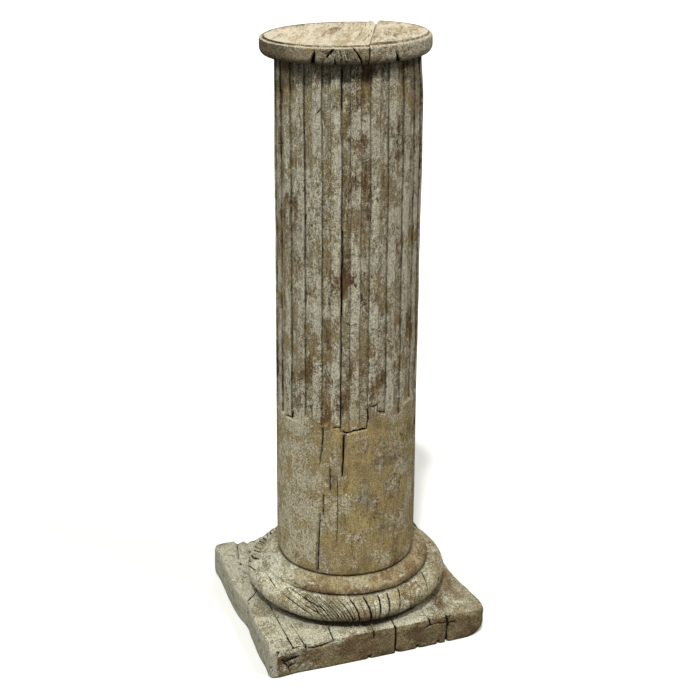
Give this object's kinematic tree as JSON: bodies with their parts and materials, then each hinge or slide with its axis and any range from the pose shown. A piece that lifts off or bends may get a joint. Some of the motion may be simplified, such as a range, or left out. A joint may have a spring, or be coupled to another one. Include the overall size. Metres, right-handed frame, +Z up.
{
  "type": "weathered wooden column",
  "caption": "Free-standing wooden pedestal column: a fluted shaft on a turned torus base and square plinth, under a round disc cap, weathered and split.",
  "frame": {"origin": "under the middle of the plinth, on the surface that the column stands on", "axes": "+Z up along the shaft; -Y out of the plinth's front face, which is end grain; +X to the right seen from the front"},
  "size_m": [0.4168, 0.3938, 1.0713],
  "materials": {
    "plinth_wood": "grey-brown weathered board with chalky whitewash remains and dark checks, matt",
    "moulding_wood": "turned grey-cream weathered wood with short dark checks, matt",
    "shaft_wood": "brown and ochre weathered log with pale grey whitewash worn to patches, matt",
    "cap_wood": "pale cream bleached top with raised grain, grey-brown rim, matt"
  },
  "bodies": {
    "root": {"plinth": "plinth_wood", "base_moulding": "moulding_wood", "shaft": "shaft_wood", "cap": "cap_wood"}
  },
  "joints": []
}
